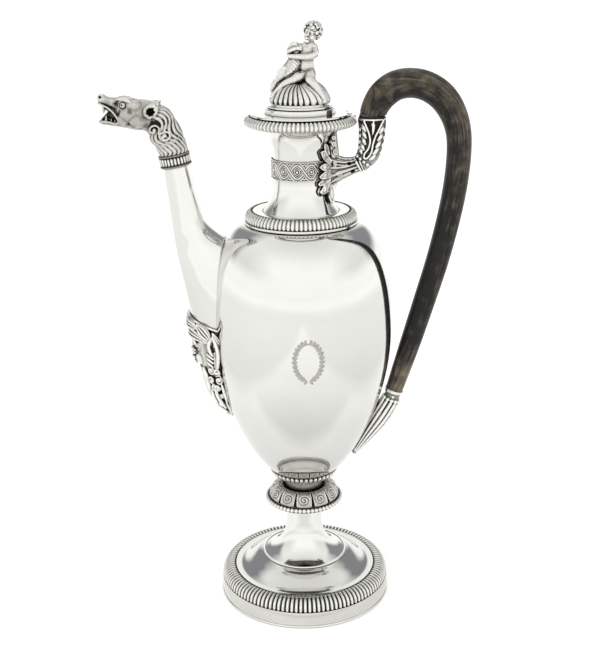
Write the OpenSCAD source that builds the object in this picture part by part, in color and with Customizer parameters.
// Footed coffee pot in silver, with a beast-head spout, a hinged lid and a wooden loop handle.
// Millimetres. Z is up, the spout points along -X and the handle along +X.
// The origin is the centre of the foot's resting face.

/* [Foot] */
// Radius of the foot at its bottom wire
foot_r = 51; // [50:0.5:52]
// Height at which the plain band ends and the gadrooned border begins
band_top_z = 9.8; // [9:0.1:10.5]
// Inner radius of the gadrooned border, where the dish begins
dish_r = 42; // [41:0.5:43]
// Height of the dish's outer edge
dish_z = 16.3; // [15.5:0.1:17]
// Radius of the raised disc under the stem
disc_r = 25; // [24:0.5:26]
// Height of the raised disc's edge
disc_z = 25.5; // [25:0.1:26]
// Thickness of the raised silver sheet
sheet = 1; // [0.8:0.1:1.2]

/* [Stem and knop] */
// Radius of the stem at its waist
stem_r = 10.4; // [10:0.1:10.8]
// Radius of the plain throat between the knop and the vessel's socket
throat_r = 11; // [10.9:0.1:11.4]
// Radius of the bead ring round the knop
knop_r = 22.6; // [22:0.1:23]
// Height of the bead ring's middle
knop_z = 59.6; // [59:0.1:60]

/* [Vessel] */
// Largest radius of the egg-shaped vessel
vessel_r = 52; // [51:0.5:53]
// Height of the largest radius
vessel_wide_z = 172; // [170:1:174]
// Height of the vessel's foot ring
vessel_base_z = 79; // [78.5:0.1:79.5]
// Height of the vessel's shoulder under the border
vessel_top_z = 230.6; // [230:0.1:231]

/* [Neck and mouth] */
// Radius of the neck at its waist
neck_r = 15.4; // [15:0.1:15.6]
// Radius of the mouth's bore
mouth_bore_r = 21; // [20.8:0.1:21.2]
// Largest radius of the gadrooned rim
rim_r = 31; // [30.5:0.1:31]
// Height of the mouth's flat top
mouth_z = 289.2; // [289:0.1:289.4]

/* [Lid] */
// Radius of the lid's flat plate
lid_r = 27.3; // [27:0.1:27.6]
// Thickness of the lid's flat plate
lid_plate_t = 1; // [0.8:0.1:1.2]
// Gap between the mouth and the closed lid
lid_gap = 0.2; // [0.15:0.05:0.3]
// Opening angle shown, 0 is closed
lid_angle = 0; // [0:1:74]

/* [Hidden] */
$fn = 64;

SILVER = "#d9d9d4";
OLD_SILVER = "#b9b8b0";
WOOD = "#4a4036";

vessel_mouth_r = 20.6;
neck_base_z = 236.6;
neck_base_r = 21.4;
calyx_z = [knop_z + 1.9, 70.2];
neck_top_z = 283.4;
band_r = neck_r + 1.1;
band_z = [255.4, 266];
lid_z = mouth_z + lid_gap;
hinge_x = 27.8;
hinge_z = mouth_z - 0.9;
knuckle_r = 1.5;
hinge_half_w = 6.2;
pin_r = 0.6;

// ---------- helpers ----------

// n + 1 points on a cubic Bezier curve
function bezier(a, b, c, d, n) = [
    for (i = [0:n]) let (t = i / n, s = 1 - t)
        s * s * s * a + 3 * s * s * t * b + 3 * s * t * t * c + t * t * t * d
];
// n + 1 points on an arc about c
function arc(c, r, from, to, n) = [
    for (i = [0:n]) let (w = from + (to - from) * i / n) c + r * [cos(w), sin(w)]
];
function back(list) = [for (i = [len(list) - 1:-1:0]) list[i]];
function unit(v) = v / norm(v);
// the outline moved sideways by t, to its left along the direction of travel
function shift(line, t) = [
    for (i = [0:len(line) - 1])
        let (
            a = line[max(i - 1, 0)],
            b = line[min(i + 1, len(line) - 1)],
            d = unit(b - a)
        ) line[i] + t * [-d.y, d.x]
];
// a closed section between a line and the same line moved by t
function skin(line, t) = concat(line, back(shift(line, t)));

module lathe(section) rotate_extrude() polygon(section);

// a solid through rings of points that all have the same count
module loft(rings) {
    n = len(rings[0]);
    m = len(rings);
    polyhedron(
        points = [for (r = rings) each r],
        faces = concat(
            [[for (i = [0:n - 1]) i]],
            [for (k = [0:m - 2], i = [0:n - 1]) let (j = (i + 1) % n)
                [k * n + i, (k + 1) * n + i, (k + 1) * n + j, k * n + j]],
            [[for (i = [n - 1:-1:0]) (m - 1) * n + i]]
        ),
        convexity = 8
    );
}

// rings round a path in the XZ plane; stations are [x, z, radius across, radius along Y]
function path_rings(stations, n) = [
    for (i = [0:len(stations) - 1])
        let (
            s = stations[i],
            a = stations[max(i - 1, 0)],
            b = stations[min(i + 1, len(stations) - 1)],
            d = unit([b[0] - a[0], b[1] - a[1]])
        ) [for (k = [0:n - 1]) let (w = 360 * k / n)
            [s[0] + s[2] * cos(w) * d.y, s[3] * sin(w), s[1] - s[2] * cos(w) * d.x]]
];
// a Catmull-Rom curve through the stations, with steps points to each span
function smooth_path(p, steps) = concat(
    [for (i = [0:len(p) - 2], k = [0:steps - 1])
        let (
            t = k / steps,
            a = p[max(i - 1, 0)],
            b = p[i],
            c = p[i + 1],
            d = p[min(i + 2, len(p) - 1)]
        ) 0.5 * (2 * b + (c - a) * t + (2 * a - 5 * b + 4 * c - d) * t * t
            + (3 * b - a - 3 * c + d) * t * t * t)],
    [p[len(p) - 1]]
);

// ---------- outlines, as [radius, height] ----------

vessel_line = concat(
    bezier([18, vessel_base_z], [34, vessel_base_z + 14],
        [vessel_r, vessel_wide_z - 41], [vessel_r, vessel_wide_z], 22),
    [for (p = bezier([vessel_r, vessel_wide_z], [vessel_r, vessel_wide_z + 35],
        [45.5, vessel_top_z - 1.5], [27.5, vessel_top_z], 22)) if (p[1] > vessel_wide_z) p],
    [[vessel_mouth_r, vessel_top_z + 0.2]]
);
neck_low = bezier([neck_base_r, neck_base_z], [17.6, neck_base_z + 5],
    [neck_r, neck_base_z + 10], [neck_r, neck_base_z + 18], 12);
neck_high = bezier([neck_r, band_z[1] + 1], [neck_r, 275.2], [17.4, 279.4],
    [mouth_bore_r + 1, neck_top_z], 12);
neck_line = concat([[22.2, vessel_top_z + 0.2], [neck_base_r, neck_base_z]],
    [for (i = [1:12]) neck_low[i]], neck_high);
stem_line = concat([[disc_r - 0.6, disc_z - 0.2]],
    bezier([21, disc_z + 0.9], [14, disc_z + 4.5], [stem_r, 38.5], [stem_r, 47], 14),
    [[stem_r, calyx_z[1]]]);

// ---------- foot ----------

module foot_wire() {
    color(SILVER) lathe(concat([[foot_r - 2, 0]],
        arc([foot_r - 0.8, 0.8], 0.8, -90, 90, 8), [[foot_r - 2, 1.6]]));
}

module foot_band() {
    color(SILVER) lathe([[foot_r - 1.6, 1.6], [foot_r - 0.4, 1.6],
        [foot_r - 0.6, band_top_z], [foot_r - 1.8, band_top_z]]);
}

module foot_border() {
    crown = bezier([foot_r - 0.7, band_top_z], [foot_r - 0.4, band_top_z + 5],
        [dish_r + 5, dish_z + 1.6], [dish_r, dish_z], 10);
    inner = [for (p = shift(crown, sheet + 0.4)) if (p.y > band_top_z) p];
    color(OLD_SILVER) lathe(concat(crown, back(inner), [[foot_r - 2.1, band_top_z]]));
}

module foot_dish() {
    dish = concat(
        bezier([dish_r - 0.1, dish_z], [dish_r - 6, dish_z - 1.6], [disc_r + 8, disc_z - 4.5],
            [disc_r + 1.2, disc_z - 2.4], 12),
        [[disc_r - 0.4, disc_z - 1.2], [disc_r - 2.4, disc_z - 0.8]]
    );
    color(SILVER) lathe(skin(dish, sheet));
}

module foot_disc_wire() {
    color(SILVER) lathe(concat([[disc_r - 0.5, disc_z - 1.1]],
        arc([disc_r - 0.2, disc_z - 0.5], 0.6, -60, 90, 6), [[disc_r - 0.5, disc_z]]));
}

// ---------- stem and knop ----------

module stem() {
    color(SILVER) lathe(skin(stem_line, sheet));
}

module knop_bead_ring() {
    color(OLD_SILVER) lathe(concat([[stem_r, knop_z - 1.4]],
        arc([knop_r - 2.2, knop_z], 2.2, -60, 58, 8), [[stem_r, calyx_z[0]]]));
}

module knop_calyx() {
    leaf = bezier([20.5, knop_z + 3], [19.5, knop_z + 7], [16, knop_z + 10.8],
        [12.2, knop_z + 7.4], 10);
    color(OLD_SILVER) lathe(concat([[stem_r, calyx_z[0]], [20.2, calyx_z[0]]], leaf,
        [[throat_r, knop_z + 7.2], [throat_r, calyx_z[1]], [stem_r, calyx_z[1]]]));
}

module vessel_socket() {
    wire = arc([throat_r + 0.8, vessel_base_z - 4.8], 0.7, -90, 60, 6);
    cup = bezier([12.6, vessel_base_z - 4], [15.6, vessel_base_z - 3.9], [19.6, vessel_base_z - 1.4],
        [20.6, vessel_base_z + 1.9], 8);
    color(OLD_SILVER) lathe(concat([[9, calyx_z[1]], [throat_r, calyx_z[1]],
        [throat_r, vessel_base_z - 5.5]], wire, cup,
        [vessel_line[1], vessel_line[0], vessel_floor[1], [9, vessel_floor[0].y]]));
}

// ---------- vessel and neck ----------

vessel_floor = [[0, vessel_base_z - 3.8], [10, vessel_base_z - 3.8]];

module vessel_solid() {
    lathe(concat(vessel_floor, vessel_line,
        [[0, vessel_top_z + 0.2]]));
}

module strainer_holes() {
    pitch = 4.6;
    for (row = [-3:3], col = [-3:3])
        let (y = (col + (row % 2 == 0 ? 0 : 0.5)) * pitch, z = 190 + row * pitch * 0.87)
            if (norm([y, z - 190]) < 15)
                translate([-vessel_r + 6, y, z]) rotate([0, -90, 0]) cylinder(r = 1.1, h = 12);
}

module vessel() {
    inner = shift(vessel_line, sheet);
    color(SILVER) difference() {
        lathe(concat(vessel_floor, vessel_line,
            back([for (p = inner) if (p[1] > vessel_base_z + 1.2) p]),
            [[10, vessel_floor[1].y + 1.3 * sheet], [0, vessel_floor[0].y + sheet]]));
        strainer_holes();
    }
}

module shoulder_wire() {
    color(SILVER) lathe(concat([[28.2, vessel_top_z]],
        arc([31.1, vessel_top_z + 0.3], 0.9, -80, 50, 8), [[28.2, vessel_top_z + 1]]));
}

module shoulder_border() {
    crown = bezier([31.4, vessel_top_z + 1], [32, vessel_top_z + 3.4], [30.4, 236.6],
        [28, 237.4], 8);
    color(OLD_SILVER) lathe(concat([[27, vessel_top_z + 1]], crown, [[27, 237.2]]));
}

module shoulder_plate() {
    color(SILVER) lathe([[21.6, 235.8], [27, 235.8], [27, 237.1], [21.6, 236.6]]);
}

module neck() {
    inner = [for (p = shift(neck_line, 1)) if (p.y > neck_line[0].y && p.y < neck_top_z - 0.6) p];
    color(SILVER) lathe(concat(neck_line, [[mouth_bore_r, neck_top_z]], back(inner),
        [[neck_line[0].x - 1, neck_line[0].y]]));
}

module neck_band() {
    color(OLD_SILVER) lathe([[neck_r, band_z[0]], [band_r - 0.3, band_z[0]],
        [band_r, band_z[0] + 0.5], [band_r, band_z[1] - 0.5], [band_r - 0.3, band_z[1]],
        [neck_r, band_z[1]]]);
}

module mouth_border() {
    crown = concat(
        bezier([24.4, 282.8], [28.4, 283], [rim_r, 284.2], [rim_r, 286], 7),
        bezier([rim_r, 286.1], [rim_r, 287.4], [29.4, 288.8], [lid_r + 0.4, mouth_z], 5)
    );
    color(OLD_SILVER) difference() {
        lathe(concat([[mouth_bore_r + 1, neck_top_z]], crown, [[mouth_bore_r + 1, mouth_z]]));
        hinge_notch(0);
    }
}

// the pocket in the rim that takes the hinge
module hinge_notch(extra) {
    translate([hinge_x - 2.2 - extra, -hinge_half_w - extra, 286.2 - extra])
        cube([10, 2 * (hinge_half_w + extra), 10]);
}

module mouth_bezel() {
    color(SILVER) lathe([[mouth_bore_r, neck_top_z], [mouth_bore_r + 1, neck_top_z],
        [mouth_bore_r + 1, mouth_z], [mouth_bore_r, mouth_z]]);
}

// ---------- spout ----------

// horizontal sections of the spout: [height, outermost x, innermost x, half width]
spout_sections = [
    [118, -46, -36, 5], [124, -51, -36, 9], [135, -54.5, -36, 14], [150, -58.5, -34, 18],
    [165, -61.2, -32, 20], [180, -64.2, -30, 20.4], [195, -67, -28, 19.2],
    [208, -69.4, -31, 16.4], [218, -71, -38, 13.4], [225, -71.8, -48, 11.4],
    [231, -72.5, -52.8, 10], [240, -73.4, -55.7, 8.9], [250, -74.5, -58.4, 8],
    [262, -75.6, -61.2, 7.2], [266, -76, -62.2, 6.9]
];
collar_at = [-69, 0, 265.6];
collar_tilt = -10;
collar_half_h = 3.5;

function spout_ring(s, grow, n) = [
    for (k = [0:n - 1]) let (w = 360 * k / n)
        [(s[1] + s[2]) / 2 + ((s[2] - s[1]) / 2 + grow) * cos(w), (s[3] + grow) * sin(w), s[0]]
];

module spout_form(grow, n = 24) {
    loft([for (s = smooth_path(spout_sections, 2)) spout_ring(s, grow, n)]);
}

module above_collar_plane() {
    translate(collar_at) rotate([0, collar_tilt, 0]) translate([-20, -20, -collar_half_h])
        cube([40, 40, 40]);
}

module spout_tube() {
    color(SILVER) difference() {
        spout_form(0);
        translate([0, 0, 0.4]) spout_form(-sheet);
        vessel_solid();
        above_collar_plane();
    }
}

module spout_collar() {
    color(OLD_SILVER) translate(collar_at) rotate([0, collar_tilt, 0]) lathe(concat(
        [[5.6, -collar_half_h]], arc([8.2, 0.6 - collar_half_h], 0.6, -90, 40, 4),
        [[8.6, -2], [8.8, 0], [8.6, 2]], arc([8.2, collar_half_h - 0.6], 0.6, -40, 90, 4),
        [[5.6, collar_half_h]]));
}

// the cast beast's head: neck, skull, muzzle, jaw and ears round a pouring channel
module spout_head() {
    neck_path = [[-69.6, 269, 7.6, 7.4], [-70.6, 275, 8.2, 7.6], [-73.4, 282, 8.9, 7.8],
        [-79, 288.2, 9, 7.8], [-86, 290.4, 8.6, 7.8]];
    muzzle = [[-84, 291, 8.2, 7.4], [-92, 292.4, 7.6, 6.6], [-98, 294.8, 5.2, 5.2],
        [-104, 297.3, 3.5, 3.8], [-109, 299.4, 2.6, 2.6]];
    jaw = [[-88, 288.5, 6.2, 6.4], [-96, 286.4, 3.2, 4.6], [-103, 286, 1.8, 3.4],
        [-108.8, 286.6, 1.2, 2.2]];
    color(OLD_SILVER) difference() {
        union() {
            loft(path_rings(smooth_path(neck_path, 3), 20));
            loft(path_rings(muzzle, 16));
            loft(path_rings(jaw, 16));
            for (side = [-1, 1])
                translate([-81, side * 6.6, 293.6]) rotate([side * 25, 20, 0])
                    cylinder(r1 = 2.2, r2 = 3.4, h = 4.2);
        }
        channel();
        translate(collar_at) rotate([0, collar_tilt, 0]) translate([-20, -20, -20])
            cube([40, 40, 20 + collar_half_h]);
    }
}

// the pouring channel: up the neck, then forward between the jaws
module channel() {
    translate([-69.2, 0, 262]) rotate([0, -12, 0]) cylinder(r = 5, h = 24);
    translate([-73.8, 0, 284.2]) sphere(r = 5.5);
    translate([-73.8, 0, 284.4]) rotate([0, -78, 0]) cylinder(r = 4.2, h = 26);
    translate([-98, -4.6, 288]) rotate([0, 8, 0]) mirror([1, 0, 0]) cube([16, 9.2, 4.6]);
}

module spout_mask() {
    color(OLD_SILVER) difference() {
        spout_form(3, 28);
        spout_form(0);
        vessel_solid();
        translate([-58, -40, 172.5]) rotate([0, 38, 0]) translate([-120, 0, 0])
            cube([240, 80, 160]);
    }
}

// ---------- handle ----------

handle_path = [
    [39.3, 288.6, 7.2, 7.2], [41.2, 294, 7.5, 7.5], [45.2, 299.8, 8, 8], [51.8, 304.4, 8.1, 8.1],
    [60.4, 305.7, 8, 8], [69.2, 303.6, 8, 8], [77.2, 298, 7.9, 7.9], [83, 289.6, 7.5, 7.5],
    [86.4, 279, 7, 7], [87, 266, 6.8, 6.8], [85.4, 248, 6.7, 6.7], [81.8, 228, 6.6, 6.6],
    [76.6, 206, 6.5, 6.5], [70, 183, 6.3, 6.3], [62, 156, 5.9, 5.9], [53.6, 129, 5, 5]
];
socket_path = [[31, 261.4, 4.5, 4.5], [34.4, 263.8, 5.2, 5.2], [37.4, 268.4, 6.2, 6.2],
    [38.6, 274, 6.8, 6.8], [39.2, 281, 7.3, 7.3], [39.2, 287.6, 7.7, 7.7], [39.2, 289, 7.8, 7.8]];
arm_path = [[16, 259.6, 8.6, 8], [20, 259.8, 7.6, 7.4], [24, 260.2, 6, 6.2], [28.4, 260.9, 4.8, 4.9],
    [32.8, 263, 4.5, 4.5]];
lower_path = [[30, 88, 1.6, 1.6], [34, 94.4, 2.6, 2.6], [38.6, 101.4, 4, 3.2],
    [43.4, 108.6, 5, 3.9], [48.2, 116, 5.2, 4.5], [51.6, 122.6, 5, 4.9], [53.3, 128, 4.9, 4.9]];
low_dir = unit([53.6 - 62, 129 - 156]);
low_tilt = atan2(low_dir.x, low_dir.y);
low_lip = [53.6, 0, 129];
lip_t = 1.7;
band_tilt = 62;
band_at = [31.6, 0, 261.8];
wood_z = 289;
tenon_r = 4.6;
tenon_l = 8;

module upper_tenon(extra) {
    translate([39.3, 0, wood_z - tenon_l - extra]) cylinder(r = tenon_r + extra, h = tenon_l + 2);
}

module lower_tenon(extra) {
    translate(low_lip) rotate([0, low_tilt, 0]) translate([0, 0, -4])
        cylinder(r = 3.2 + extra, h = 11 + extra);
}

// a slab across the handle's lower end, from one distance along it to another
module below_lip(from, to) {
    translate(low_lip) rotate([0, low_tilt, 0]) translate([-10, -10, from])
        cube([20, 20, to - from]);
}

module cross_pin(at, r, length) {
    translate(at) rotate([90, 0, 0]) cylinder(r = r, h = length, center = true);
}

upper_pin_at = [39.3, 0, 284.6];
lower_pin_at = low_lip + 3.6 * [low_dir.x, 0, low_dir.y];

module handle_wood() {
    color(WOOD) difference() {
        union() {
            difference() {
                loft(path_rings(smooth_path(handle_path, 3), 20));
                translate([20, -20, wood_z - 20]) cube([40, 40, 20]);
                below_lip(0, 10);
            }
            upper_tenon(0);
            lower_tenon(0);
        }
        cross_pin(upper_pin_at, 0.9, 30);
        cross_pin(lower_pin_at, 0.8, 30);
    }
}

module handle_socket_upper() {
    color(OLD_SILVER) difference() {
        loft(path_rings(smooth_path(socket_path, 3), 20));
        band_disc(9, -19.5, band_t / 2);
        upper_tenon(0.04);
        cross_pin(upper_pin_at, 0.9, 30);
    }
}

band_t = 1;

// a disc about the arm's end, from one distance along it to another
module band_disc(r, from, to) {
    translate(band_at) rotate([0, band_tilt, 0]) translate([0, 0, from]) cylinder(r = r, h = to - from);
}

module handle_arm_band() {
    color(SILVER) band_disc(5.3, -band_t / 2, band_t / 2);
}

module handle_arm() {
    color(OLD_SILVER) difference() {
        loft(path_rings(smooth_path(arm_path, 3), 20));
        palmette_solid();
        band_disc(9, -band_t / 2, 9);
    }
}

// everything inside the palmette's outer face, so that the arm ends on it
module palmette_solid() {
    lathe(concat([[0, 240]], palmette_outer, [[0, 282]]));
}

palmette_inner = concat(
    [for (p = neck_low) if (p[1] > 241 && p[1] < band_z[0] - 0.3) p],
    [[band_r, band_z[0] - 0.2], [band_r, band_z[1] + 0.2]],
    [for (p = neck_high) if (p[1] > band_z[1] + 1 && p[1] < 280.5) p]
);
palmette_outer = shift(palmette_inner, -1.8);

module handle_palmette() {
    section = concat(palmette_inner, back(palmette_outer));
    color(OLD_SILVER) difference() {
        rotate([0, 0, -58]) rotate_extrude(angle = 116) polygon(section);
        neck_band();
    }
}

module handle_lip_lower() {
    color(SILVER) translate(low_lip) rotate([0, low_tilt, 0]) difference() {
        cylinder(r = 5.5, h = lip_t);
        translate([0, 0, -1]) cylinder(r = 3.24, h = 5);
    }
}

module handle_socket_lower() {
    color(OLD_SILVER) difference() {
        loft(path_rings(smooth_path(lower_path, 3), 16));
        vessel_solid();
        lower_tenon(0.04);
        cross_pin(lower_pin_at, 0.8, 30);
        below_lip(-10, lip_t);
    }
}

module handle_pin_upper() {
    color(SILVER) cross_pin(upper_pin_at, 0.9, 15.4);
}

module handle_pin_lower() {
    color(SILVER) cross_pin(lower_pin_at, 0.8, 10);
}

// ---------- hinge ----------

module barrel(from, to, r) {
    translate([hinge_x, to, hinge_z]) rotate([90, 0, 0]) cylinder(r = r, h = to - from);
}

module hinge_body_leaf() {
    color(SILVER) difference() {
        union() {
            translate([hinge_x - 2.2, -hinge_half_w, 286.2]) cube([5, 2 * hinge_half_w, hinge_z - 286.2]);
            barrel(-hinge_half_w, -2.4, knuckle_r);
            barrel(2.4, hinge_half_w, knuckle_r);
        }
        barrel(-2.4, 2.4, 2.6);
        barrel(-10, 10, pin_r + 0.01);
    }
}

module hinge_pin() {
    color(SILVER) barrel(-hinge_half_w, hinge_half_w, pin_r);
}

module hinge_lid_leaf() {
    color(SILVER) difference() {
        union() {
            translate([hinge_x - 2.4, -2.3, lid_z]) cube([2.9, 4.6, lid_plate_t]);
            barrel(-2.3, 2.3, knuckle_r);
        }
        barrel(-10, 10, pin_r + 0.05);
    }
}

// ---------- lid ----------

module lid_plate() {
    color(SILVER) difference() {
        lathe([[screw_r, lid_z], [lid_r, lid_z], [lid_r, lid_z + lid_plate_t - 0.1],
            [lid_r - 0.6, lid_z + lid_plate_t], [screw_r, lid_z + lid_plate_t]]);
        translate([hinge_x - 2.4, -hinge_half_w - 0.3, lid_z - 1])
            cube([10, 2 * (hinge_half_w + 0.3), 4]);
    }
}

module lid_bezel() {
    color(SILVER) lathe([[19.2, 284.6], [20, 284.6], [20.4, 285.4], [20.4, lid_z], [19.2, lid_z]]);
}

dome_z = lid_z + lid_plate_t;
screw_r = 1.55;

module lid_moulding() {
    outer = concat([[19.3, dome_z], [19.4, dome_z + 2.2]],
        arc([18.6, dome_z + 2.2], 0.8, 0, 90, 4),
        arc([17.2, dome_z + 3.8], 0.7, -60, 80, 5), [[16, dome_z + 5.6]]);
    color(SILVER) lathe(concat(outer, [[2, dome_z + 5.6], [2, dome_z + 4.4], [14.8, dome_z + 4.4],
        [17.6, dome_z + 1.6], [18, dome_z]]));
}

mound_z = dome_z + 5.6;

dome_line = concat(
    bezier([16.4, mound_z], [17.4, mound_z + 7], [12, mound_z + 14.6], [4.6, mound_z + 15], 10),
    [[screw_r, mound_z + 15]]
);

module lid_mound() {
    color(OLD_SILVER) lathe(concat(dome_line, back(shift(dome_line, 1.6))));
}

// the cast finial: a kneeling child with both arms round a goose
module finial_figure() {
    color(OLD_SILVER) difference() {
        union() {
            translate([7.6, 0, 333.6]) sphere(r = 5.7);
            loft(path_rings([[2.4, 312, 4.4, 3.8], [3.6, 317, 4.2, 4], [4.6, 322, 3.8, 4],
                [5.8, 327.4, 3.2, 4.6], [6.6, 331, 2, 2]], 16));
            loft(path_rings([[-8.6, 311.4, 3, 3.2], [-5.6, 316.4, 4.4, 4.6], [-3, 321, 3.6, 3.6],
                [-3, 325.4, 2.6, 2.6]], 16));
            loft(path_rings([[14, 298.6, 2, 2.4], [9.6, 304.8, 2.6, 2.8], [4, 312.6, 3.2, 3.4]], 14));
            loft(path_rings([[-14, 300.4, 2, 2.2], [-8, 306.6, 2.6, 2.8], [1, 312.6, 3.2, 3.4]], 14));
            for (side = [-1, 1])
                loft(path_rings([[5.4, 326.4, 2, 2], [0, 324.4, 1.9, 4.4 + side], [-4.6, 323.4, 1.6, 2]],
                    12));
        }
        mound_core();
    }
}

// the mound's outside and the screw's bore, taken out of the figure
module mound_core() {
    lathe(concat([[0, mound_z]], dome_line, [[0, mound_z + 15]]));
    cylinder(r = screw_r, h = mound_z + 19);
}

module finial_screw() {
    color(SILVER) translate([0, 0, lid_z - 5]) cylinder(r = screw_r, h = mound_z + 24 - lid_z);
}

module finial_nut() {
    color(SILVER) difference() {
        translate([0, 0, lid_z - 3.1]) cylinder(r = 4, h = 3.1, $fn = 6);
        translate([0, 0, lid_z - 4]) cylinder(r = screw_r, h = 5, $fn = 64);
    }
}

// ---------- assembly ----------

module on_lid() {
    translate([hinge_x, 0, hinge_z]) rotate([0, lid_angle, 0]) translate([-hinge_x, 0, -hinge_z])
        children();
}

foot_wire();
foot_band();
foot_border();
foot_dish();
foot_disc_wire();
stem();
knop_bead_ring();
knop_calyx();
vessel_socket();
vessel();
shoulder_wire();
shoulder_border();
shoulder_plate();
neck();
neck_band();
mouth_border();
mouth_bezel();
spout_tube();
spout_collar();
spout_head();
spout_mask();
handle_palmette();
handle_arm();
handle_arm_band();
handle_socket_upper();
handle_wood();
handle_socket_lower();
handle_lip_lower();
handle_pin_upper();
handle_pin_lower();
hinge_body_leaf();
hinge_pin();
on_lid() hinge_lid_leaf();
on_lid() lid_plate();
on_lid() lid_bezel();
on_lid() lid_moulding();
on_lid() lid_mound();
on_lid() finial_figure();
on_lid() finial_screw();
on_lid() finial_nut();
